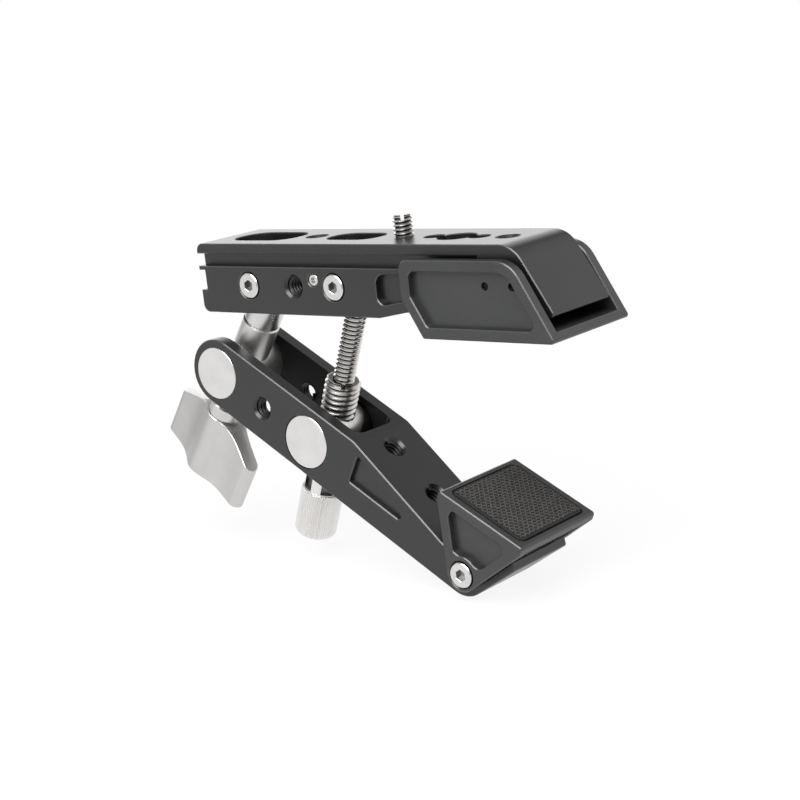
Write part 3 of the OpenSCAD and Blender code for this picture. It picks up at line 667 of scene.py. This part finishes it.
def socketed(piece, top, radius, depth):
    """Broaches a hexagon socket into the top of a piece that stands on the origin."""
    clear_selection()
    bpy.ops.mesh.primitive_cylinder_add(vertices=6, radius=radius, depth=2 * depth, location=(0, 0, top))
    return cut(piece, bpy.context.object, "DIFFERENCE")


def button_screw(node, name, body, radius, side):
    low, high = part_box(node)
    seat = high.y if side < 0 else low.y
    place = Vector(((low.x + high.x) / 2, seat, (low.z + high.z) / 2))
    head_face = on_plane(2, head_height)
    screw = blank(name, radius, head_height, head_break, 0)
    chamfer(screw, face_break, head_face, material=0)
    socketed(screw, head_height, socket_radius, socket_depth)
    chamfer(screw, socket_break, head_face, material=0)
    head_steel = turned_steel(name + "_steel", tuple(place), across_y, rough=0.26, level=0.7)
    # The socket's faces take a darker copy of the steel: painted shade inside the hexagon.
    socket_painted_shade = turned_steel(name + "_socket", tuple(place), across_y, rough=0.32, level=0.28)
    screw.data.materials.append(head_steel)
    screw.data.materials.append(socket_painted_shade)
    for face in screw.data.polygons:
        inside = 0.0001 < face.center.z < head_height - 0.0002
        face.material_index = int(inside and face.center.xy.length < socket_radius)
    lay(screw, place, (0, side, 0))
    smooth(screw, angle=25)
    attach(screw, body)
    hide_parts(node)


for pivot, body, radius in (("rear", "upper_body", arm_head_radius), ("mid", "upper_body", arm_head_radius),
                            ("jaw", "tilting_jaw", jaw_head_radius)):
    button_screw(pivot + "_screw_near", pivot + "_button_near", body, radius, -1)
    button_screw(pivot + "_screw_far", pivot + "_button_far", body, radius, 1)


# Set screw beside the middle pivot: a short headless screw of stainless steel with a hexagon socket, run
# into the arm's side.
low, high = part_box("lock_screw")
lock_place = Vector(((low.x + high.x) / 2, high.y, (low.z + high.z) / 2))
lock_length = high.y - low.y
lock_radius = 0.00198
lock_break = 0.0003
lock_socket_radius = 0.00105
lock_socket_depth = 0.002
lock = blank("lock_set_screw", lock_radius, lock_length, lock_break, lock_break)
socketed(lock, lock_length, lock_socket_radius, lock_socket_depth)
lay(lock, lock_place, (0, -1, 0))
lock.data.materials.append(turned_steel("lock_steel", tuple(lock_place), across_y, rough=0.28, level=0.7))
smooth(lock, angle=25)
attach(lock, "upper_body")
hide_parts("lock_screw")


# Rear post: a domed steel cap on the rear pivot over the neck of a steel trunnion, which turns in the
# fork; the trunnion's faced ends show as discs in the fork's sides.
joints = {joint["name"]: joint for joint in frame["joints"]}
rear_pivot = Vector(joints["rear_swing"]["pos_m"])
post_down = Vector(joints["wing_travel"]["axis"])
rear_axle = Vector(joints["arm_close"]["pos_m"])
cap_length = 0.018
seam_reach = 0.00003
seam_break = 0.0004
disc_break = 0.00015
disc_depth = 0.013
fork_half_width = 0.0135


def at_seam(one, other):
    return all(abs((end - rear_pivot).dot(post_down) - cap_length) < seam_reach for end in (one, other))


cap = take("rear_cap", "rear_post_cap",
           turned_steel("cap_steel", tuple(rear_pivot), tuple(post_down), rough=0.28, level=0.7))
chamfer(cap, seam_break, at_seam, material=0)
smooth(cap, angle=30)
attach(cap, "rear_post")
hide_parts("rear_cap")

disc_face = on_plane(1, fork_half_width)
rear_barrel = take("rear_trunnion", "rear_post_trunnion",
                   turned_steel("rear_disc_steel", tuple(rear_axle), across_y, rough=0.3, level=0.74),
                   turned_steel("post_neck_steel", tuple(rear_axle), tuple(post_down), rough=0.4, level=0.8))
for face in rear_barrel.data.polygons:
    face.material_index = int(abs(face.center.y) < disc_depth)
chamfer(rear_barrel, disc_break, disc_face, material=0)
chamfer(rear_barrel, seam_break, at_seam, material=1)
smooth(rear_barrel, angle=30)
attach(rear_barrel, "rear_post")
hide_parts("rear_trunnion")


# Pressure tip: a hard steel plug inside the post, at the seam between cap and trunnion. The wing screw
# pushes on it.
tip_steel = turned_steel("tip_steel", tuple(rear_pivot), tuple(post_down), rough=0.25)
for slot in frame["nodes"]["thrust_tip"].material_slots:
    slot.material = tip_steel


# Wing screw: an M8 steel screw through the trunnion, with a turned collar that the wing is pressed
# against.
screw_start = 0.0186
collar_top = 0.053
collar_foot = 0.058
screw_end = 0.081
screw_radius = 0.004
screw_pitch = 0.00125
screw_break = 0.0006
collar_radius = 0.00625
collar_foot_break = 0.0004
core_radius = screw_radius - 0.00002
stem_length = collar_top - screw_start
stem = threaded(blank("wing_screw_thread", screw_radius, stem_length, screw_break, 0), screw_radius,
                screw_pitch, stem_length)
lay(stem, rear_pivot + post_down * collar_top, -post_down)
collar = blank("wing_collar", collar_radius, collar_foot - collar_top, screw_break, collar_foot_break)
lay(collar, rear_pivot + post_down * collar_foot, -post_down)
core = blank("wing_core", core_radius, screw_end - collar_foot, 0, screw_break)
lay(core, rear_pivot + post_down * screw_end, -post_down)
wing_screw = join("wing_screw_thread", stem, collar, core)
wing_screw_steel = turned_steel("wing_screw_steel", tuple(rear_pivot), tuple(post_down), rough=0.2)
wing_screw.data.materials.append(wing_screw_steel)
smooth(wing_screw, angle=30)
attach(wing_screw, "wing")
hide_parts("wing_screw")


# Wing: a bow-tie shaped grip of cast aluminium, blasted to a soft satin and pressed on the screw's end.
# Its rims are broken by a chamfer.
def satin(name, level, rough):
    """Blasted aluminium: a soft metal sheen with a fine grain and faint clouds in it."""
    warm = 0.018
    finish = Finish(name)
    cloud = finish.noise(scale=90, detail=3)
    grain = finish.noise(scale=3400, detail=2)
    mottle = 0.6 * cloud + 0.4 * grain
    colour = finish.shades(mottle, (0.3, grey(level * 0.93, warm)), (0.7, grey(level * 1.05, warm)))
    return finish.set(
        Base_Color=colour,
        Metallic=1.0,
        Roughness=rough - 0.05 + 0.1 * grain,
        Normal=finish.bump(grain, strength=0.3, distance=0.00003),
    )


satin_skin = satin("satin_alloy", level=0.62, rough=0.42)
# The wing's chamfers take a slightly lighter copy of the satin: a painted highlight along its rims.
satin_highlight_edge = satin("satin_highlight_edge", level=0.66, rough=0.42)
wing_break = 0.0002
wing = take("wing_knob", "wing_grip", satin_skin, satin_highlight_edge)
chamfer(wing, wing_break, lambda one, other: True)
smooth(wing)
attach(wing, "wing")
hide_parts("wing_knob")


# Lower arm: a fork milled from black anodised aluminium; its prongs carry the two trunnions, and its toe
# carries the tilting jaw. A three-cornered recess lightens each side.
mid_axle = Vector(joints["knob_turn"]["pos_m"])
fork_break = 0.00035
disc_clearance = 0.0098


def clear_of_bores(middle):
    return all((middle.xz - axle.xz).length > disc_clearance for axle in (rear_axle, mid_axle))


def fork_edge(one, other):
    return disc_face(one, other) and clear_of_bores((one + other) / 2)


prong = holes["lower_cross_hole"]
prong_inside = 0.009
slope_mounts = [mount for mount in frame["record"]["mounts"] if mount["name"].startswith("slope_hole")]
out_of_slope = Vector(slope_mounts[0]["axis"])


def in_slot(middle, normal):
    inner_wall = abs(abs(middle.y) - prong_inside) < 0.0001 and middle.y * normal.y < 0
    in_bore = (middle.xz - prong.xz).length < bore_reach and abs(normal.y) < side_on
    if abs(normal.dot(out_of_slope)) < side_on:
        for mount in slope_mounts:
            in_bore = in_bore or out_of_slope.cross(middle - Vector(mount["pos_m"])).length < bore_reach
    return inner_wall or in_bore


def half_length(mount):
    """Half the length of a mount's bore, from millimetres to metres."""
    return mount["dims"]["length_mm"] / 2000


lower_arm = take("lower_arm", "lower_arm_fork", black_skin, edge_wear_and_highlight, painted_shade_skin)
sink_spare = 0.0002
sink_over = 0.00004
for mount in slope_mounts:
    clear_selection()
    bpy.ops.mesh.primitive_cone_add(vertices=48, radius1=quarter + sink_over - sink_spare,
                                    radius2=quarter + sink_over + mouth + sink_spare,
                                    depth=mouth + 2 * sink_spare)
    sink = bpy.context.object
    lay(sink, Vector(mount["pos_m"]) + out_of_slope * (half_length(mount) + mouth / 2), out_of_slope)
    cut(lower_arm, sink, "DIFFERENCE")
# Painted shade: the slot's inner walls and the bores take the darker skin.
darken(lower_arm, in_slot)
chamfer(lower_arm, fork_break, fork_edge)
smooth(lower_arm)
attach(lower_arm, "fork")
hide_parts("lower_arm")


# Tapped threads of the lower arm: quarter inch ones, cut through both prongs, and in two holes square to
# the sloping face.
prong_depth = 0.004
slope_depth = 0.008
ridges = []
for side in (-1, 1):
    start = Vector((prong.x, side * (fork_half_width - mouth), prong.z))
    ridges.append(tapped_ridge("prong_ridge", quarter, quarter_pitch, prong_depth, start, (0, -side, 0)))
for mount in slope_mounts:
    start = Vector(mount["pos_m"]) + out_of_slope * half_length(mount)
    ridges.append(tapped_ridge("slope_ridge", quarter, quarter_pitch, slope_depth, start, -out_of_slope))
lower_threads = join("lower_arm_threads", *ridges)
lower_threads.data.materials.append(tapped_shade_skin)
smooth(lower_threads, angle=50)
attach(lower_threads, "fork")


# Lower jaw: a black anodised saddle that tilts on a pin through the fork's toe, pocketed like the upper
# jaw. Its pad is glued in as the upper one is.
lower_jaw = take("lower_jaw", "lower_jaw_saddle", jaw_skin, edge_wear_and_highlight)
chamfer(lower_jaw, jaw_break, cheek_edge)
smooth(lower_jaw)
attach(lower_jaw, "tilting_jaw")
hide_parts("lower_jaw")
pad_mount = next(mount for mount in frame["record"]["mounts"] if mount["name"] == "lower_pad_face")
lower_pad_length = 0.0276
pad("lower_pad", "lower_pad_rubber", "tilting_jaw", pad_mount["pos_m"], pad_mount["axis"],
    lower_pad_length - 2 * rim_width, pad_width)


# Adjusting rod: an M7 threaded rod of bright steel, screwed into a turned steel eye that hangs on the
# middle pivot pin.
mid_pivot = Vector(joints["rod_swing"]["pos_m"])
rod_up = Vector(joints["rod_travel"]["axis"])
rod_length = (mid_pivot - mid_axle).length
eye_radius = 0.00575
neck_top = rod_length + 0.0204
knob_top = rod_length + 0.024
spigot_end = knob_top + 0.0122
rod_end = spigot_end - 0.0194
rod_radius = 0.0035
rod_pitch = 0.0015
rod_break = 0.0007
eye_break = 0.0005
eye_side = on_plane(1, 0.006)
eye_steel = turned_steel("eye_steel", tuple(mid_pivot), across_y, rough=0.22, level=0.6)
rod_eye = take("rod_eye", "rod_eye_end", eye_steel)
chamfer(rod_eye, eye_break, eye_side, material=0)
smooth(rod_eye, angle=30)
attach(rod_eye, "thin_rod")
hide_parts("rod_eye")

rod_span = rod_end - eye_radius
rod = threaded(blank("rod_thread", rod_radius, rod_span, 0, rod_break), rod_radius, rod_pitch, rod_span)
lay(rod, mid_pivot - rod_up * rod_end, rod_up)
rod_steel = turned_steel("rod_steel", tuple(mid_pivot), tuple(rod_up), rough=0.22, level=0.7,
                         root=rod_radius - 0.55 * rod_pitch, crest=rod_radius - 0.1 * rod_pitch)
rod.data.materials.append(rod_steel)
smooth(rod, angle=30)
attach(rod, "thin_rod")
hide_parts("mid_rod")


# Middle trunnion: a steel barrel across the fork that carries the sleeve's thread, countersunk round it.
# It is painted dark, as painted shade from the fork's slot, save close round the sleeve, and its faced ends show
# as bright discs.
painted_shade_edge = 0.0092
unshaded_edge = 0.0078
mid_barrel = take("mid_trunnion", "mid_barrel_trunnion",
                  turned_steel("mid_disc_steel", tuple(mid_axle), across_y, rough=0.3, level=0.74),
                  turned_steel("barrel_middle", tuple(mid_pivot), tuple(rod_up), rough=0.3, level=0.7,
                               root=painted_shade_edge, crest=unshaded_edge))
for face in mid_barrel.data.polygons:
    face.material_index = int(abs(face.center.y) < disc_depth)
chamfer(mid_barrel, disc_break, disc_face, material=0)
low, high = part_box("mid_trunnion")
barrel_radius = (high.x - low.x) / 2
sleeve_radius = 0.0058
sink_width = 0.0009
for side in (-1, 1):
    clear_selection()
    bpy.ops.mesh.primitive_cone_add(vertices=64, radius1=sleeve_radius, depth=sink_width + 2 * sink_spare,
                                    radius2=sleeve_radius + sink_width + 2 * sink_spare)
    sink = bpy.context.object
    lay(sink, mid_axle + rod_up * side * (barrel_radius - sink_width / 2), rod_up * side)
    cut(mid_barrel, sink, "DIFFERENCE")
smooth(mid_barrel, angle=30)
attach(mid_barrel, "barrel")
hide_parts("mid_trunnion")


# Adjusting sleeve: an M12 threaded tube of steel, bored for the rod and slotted across its top. The knob
# on its plain lower end turns it.
sleeve_top = rod_length - 0.0194
sleeve_pitch = 0.00185
thread_foot = neck_top - 3 * sleeve_pitch
sleeve_span = thread_foot - sleeve_top
sleeve_break = 0.0005
sleeve_slot_width = 0.0014
sleeve_slot_depth = 0.0013
sleeve = threaded(blank("sleeve_thread", sleeve_radius, sleeve_span, sleeve_break, 0), sleeve_radius,
                  sleeve_pitch, sleeve_span)
spigot_radius = 0.0047
spigot_overlap = 0.001
spigot = blank("sleeve_spigot", spigot_radius, spigot_end - thread_foot + spigot_overlap, 0, 0)
cut(sleeve, raised(spigot, thread_foot - spigot_end), "UNION")
rod_clearance = 0.00005
drill_length = 0.2
clear_selection()
bpy.ops.mesh.primitive_cylinder_add(vertices=64, radius=rod_radius + rod_clearance, depth=drill_length)
cut(sleeve, bpy.context.object, "DIFFERENCE")
slotted(sleeve, sleeve_span, sleeve_slot_width, sleeve_slot_depth)
lay(sleeve, mid_pivot - rod_up * thread_foot, rod_up)
sleeve_steel = turned_steel("sleeve_steel", tuple(mid_pivot), tuple(rod_up), rough=0.24, level=0.7,
                            root=sleeve_radius - 0.6 * sleeve_pitch,
                            crest=sleeve_radius - 0.15 * sleeve_pitch)
sleeve.data.materials.append(sleeve_steel)
smooth(sleeve, angle=30)
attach(sleeve, "sleeve")
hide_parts("adjusting_sleeve")


# Knurled knob: turned from aluminium, straight-knurled on its grip, rounded below, bored for the sleeve's
# end, with notches in its neck for a spanner.
grip_radius = 0.007
grip_break = 0.0004
grip_rise = 0.0028
grip_height = 0.0142 + grip_rise
grip_top = knob_top - grip_rise
foot_radius = 0.002
rib_depth = 0.0003
ribs = 52
bore_radius = spigot_radius + 0.00005
bore_spare = 0.001
drill_rise = 0.02
neck_radius = 0.0063
neck_rise = 0.0016
neck_sunk = 0.0002
neck_break = 0.0002
neck_height = knob_top - neck_top + neck_rise + neck_sunk
notch_depth = 0.0012
notch_width = 0.0042
notch_rim = 0.0004
notch_inside = 0.0049
notch_outside = 0.0061
notches = 5
first_notch = math.radians(-38)


def bored(piece, depth):
    """Bores a piece along +Z, from above its top down to a depth below the origin."""
    clear_selection()
    length = drill_rise + depth
    bpy.ops.mesh.primitive_cylinder_add(vertices=64, radius=bore_radius, depth=length,
                                        location=(0, 0, length / 2 - depth))
    return cut(piece, bpy.context.object, "DIFFERENCE")


knob_skin = satin("knob_alloy", level=0.8, rough=0.42)
# A dark copy of the alloy for the notches' faces: painted shade in the notches.
notch_painted_shade = satin("knob_notches_painted_shade", level=0.12, rough=0.4)
neck = blank("knob_neck", neck_radius, neck_height, neck_break, 0)
for notch in range(notches):
    turn = first_notch + math.tau * notch / notches
    out = Vector((math.cos(turn), math.sin(turn), 0)) * neck_radius
    out.z = neck_sunk + notch_rim + neck_height / 2
    clear_selection()
    bpy.ops.mesh.primitive_cube_add(size=1, scale=(2 * notch_depth, notch_width, neck_height),
                                    rotation=(0, 0, turn), location=out)
    cut(neck, bpy.context.object, "DIFFERENCE")
bored(neck, bore_spare)
neck.data.materials.append(knob_skin)
neck.data.materials.append(notch_painted_shade)
for face in neck.data.polygons:
    in_notch = notch_inside < face.center.xy.length < notch_outside
    face.material_index = int(in_notch and abs(face.normal.z) < 0.5)
lay(neck, mid_pivot - rod_up * (grip_top + neck_sunk), rod_up)

clear_selection()
bpy.ops.mesh.primitive_circle_add(vertices=4 * ribs, radius=grip_radius - grip_break, fill_type="NGON")
grip = bpy.context.object
bpy.ops.object.mode_set(mode="EDIT")
levels = [(grip_break, grip_radius), (grip_height - foot_radius, grip_radius)]
bow_steps = 5
for step in range(1, bow_steps + 1):
    bow = math.pi / 2 * step / bow_steps
    levels.append((grip_height - foot_radius * (1 - math.sin(bow)),
                   grip_radius - foot_radius * (1 - math.cos(bow))))
here = 0
girth = grip_radius - grip_break
for level, radius in levels:
    bpy.ops.mesh.extrude_region_move(TRANSFORM_OT_translate={"value": (0, 0, here - level)})
    ratio = radius / girth
    bpy.ops.transform.resize(value=(ratio, ratio, 1), center_override=(0, 0, -level))
    here = level
    girth = radius
bpy.ops.object.mode_set(mode="OBJECT")
rib_width = 0.45
for vertex in grip.data.vertices:
    turn = math.atan2(vertex.co.y, vertex.co.x) / math.tau * ribs % 1
    on_grip = vertex.co.z < 0 and vertex.co.xy.length > grip_radius - foot_radius * 0.6
    if turn > rib_width and on_grip:
        vertex.co.xy *= 1 - rib_depth / vertex.co.xy.length
bpy.ops.object.mode_set(mode="EDIT")
bpy.ops.mesh.select_all(action="SELECT")
bpy.ops.mesh.normals_make_consistent(inside=False)
bpy.ops.object.mode_set(mode="OBJECT")
bored(grip, spigot_end - grip_top)
lay(grip, mid_pivot - rod_up * grip_top, rod_up)
grip.data.materials.append(knob_skin)
knob = join("knurled_grip", neck, grip)
smooth(knob, angle=30)
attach(knob, "sleeve")
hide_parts("knurled_knob")


# Camera, light and floor for the product picture: white all round, with a soft lamp above the front and a
# weaker one behind for the top faces.
sight = bpy.data.cameras.new("sight")
camera = bpy.data.objects.new("camera", sight)
bpy.context.scene.collection.objects.link(camera)
sight.sensor_width = 36
sight.lens = 81.10
sight.clip_start = 0.01
right = Vector((0.76247, 0.63748, -0.11069))
down = Vector((0.05825, -0.23801, -0.96952))
ahead = Vector((-0.64439, 0.73278, -0.21861))
eye = Matrix((right, -down, -ahead)).transposed().to_4x4()
eye.translation = (0.35431, -0.41337, 0.07150)
camera.matrix_world = eye
bpy.context.scene.camera = camera


class Sky(Finish):
    """The studio's surroundings and their nodes."""

    def __init__(self, name):
        self.world = bpy.data.worlds.new(name)
        self.world.use_nodes = True
        self.tree = self.world.node_tree
        self.shader = self.tree.nodes["Background"]

    def toward(self, heading):
        sockets = {0: self.way, 1: heading}
        return self.node("ShaderNodeVectorMath", {"operation": "DOT_PRODUCT"}, sockets, out="Value")


sky = Sky("studio")
sky.way = sky.node("ShaderNodeTexCoord", {}, {}, out="Generated")
toward_camera = (0.66, -0.75, 0)
overhead = sky.ramp(sky.toward((0, 0, 1)), 0.4, 0.75, 1, 0.45)
dark_corner = sky.ramp(sky.toward((-0.398, 0.697, 0.597)), 0.90, 0.985, 1, 0.2)
dark_side = sky.ramp(sky.toward((-0.953, -0.303, 0)), 0.8, 0.97, 1, 0.2)
camera_side = sky.ramp(sky.toward(toward_camera), 0.6, 0.92, 1, 0.4)
mirrored = overhead * dark_corner * dark_side * camera_side
by_camera = sky.node("ShaderNodeLightPath", {}, {}, out="Is Camera Ray")
by_mirror = sky.node("ShaderNodeLightPath", {}, {}, out="Is Glossy Ray")
ambient = 0.5
strength = ambient + by_camera * (1 - ambient) + by_mirror * (mirrored - ambient)
sky.feed(sky.shader, {"Color": (1, 1, 1, 1), "Strength": strength})
bpy.context.scene.world = sky.world


def softbox(name, heading, distance, size, radiance):
    """A square lamp that faces the object from a heading."""
    lamp = bpy.data.lights.new(name, "AREA")
    lamp.size = size
    lamp.energy = radiance * math.pi * size * size
    box = bpy.data.objects.new(name, lamp)
    bpy.context.scene.collection.objects.link(box)
    middle = (Vector(cad_box[0]) + Vector(cad_box[1])) / 2
    box.location = middle + Vector(heading).normalized() * distance
    box.rotation_euler = Vector(heading).to_track_quat("Z", "Y").to_euler()


softbox("key_light", (0.25, -0.6, 0.76), distance=0.9, size=0.75, radiance=7)
softbox("back_light", (-0.64, 0.73, 0.3), distance=1.2, size=0.9, radiance=1.3)

floor_width = 12
clear_selection()
bpy.ops.mesh.primitive_plane_add(size=floor_width, location=(0, 0, cad_box[0][2]))
floor = bpy.context.object
floor.name = "floor"
paper = Finish("floor_paper")
paper.set(Base_Color=(0.85, 0.85, 0.85, 1), Roughness=0.9)
by_camera = paper.node("ShaderNodeLightPath", {}, {}, out="Is Camera Ray")
by_mirror = paper.node("ShaderNodeLightPath", {}, {}, out="Is Glossy Ray")
forward = paper.node("ShaderNodeVectorMath", {"operation": "DOT_PRODUCT"},
                     {0: paper.place(), 1: toward_camera}, out="Value")
in_shade = by_mirror * paper.ramp(forward, 0.15, 0.45, 0, 0.6)
glow = paper.node("ShaderNodeEmission", {}, {"Color": 1 - in_shade}, out=0)
away = paper.node("ShaderNodeVectorMath", {"operation": "LENGTH"}, {0: paper.place()}, out="Value")
far_off = paper.ramp(away, 0.15, 0.4, 0.9, 1)
surface = paper.node("ShaderNodeMixShader", {}, {0: far_off * (by_camera + by_mirror), 2: glow})
paper.tree.links.new(paper.shader.outputs[0], surface.socket.node.inputs[1])
paper.tree.links.new(surface.socket, paper.tree.nodes["Material Output"].inputs["Surface"])
floor.data.materials.append(paper.material)

view = bpy.context.scene.view_settings
view.view_transform = "Standard"
